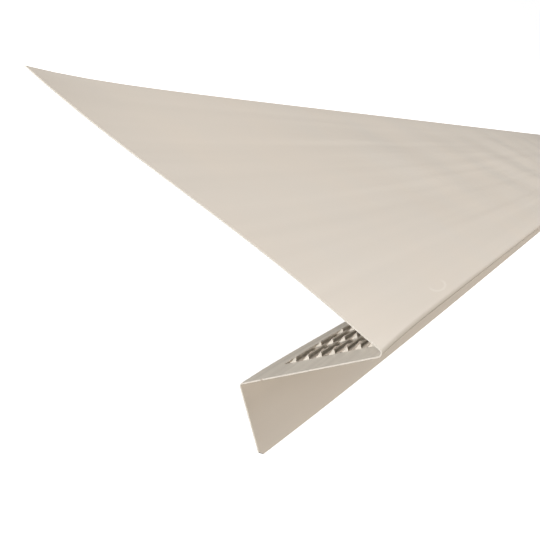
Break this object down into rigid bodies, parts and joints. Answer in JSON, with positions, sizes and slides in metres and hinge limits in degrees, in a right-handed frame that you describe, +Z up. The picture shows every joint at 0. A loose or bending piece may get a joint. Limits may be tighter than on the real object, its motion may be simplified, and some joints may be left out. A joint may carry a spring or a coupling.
{
  "type": "drip edge starter vent",
  "caption": "Long folded sheet-metal eave trim with a wide roof flange, a sharp nose, a louvred air intake panel tucked under it and a narrow fascia flange.",
  "frame": {"origin": "centre of the strip's footprint, on the floor that its back edge and the free edge of its fascia flange rest on", "axes": "+X along the strip, away from the end with the clipped corner; +Y from the fascia towards the roof, square to the strip; +Z up as it rests, with the nose on top"},
  "size_m": [3.048, 0.2092, 0.0748],
  "materials": {
    "painted_sheet": "satin"
  },
  "bodies": {
    "root": {"vent_strip": "painted_sheet"}
  },
  "joints": []
}
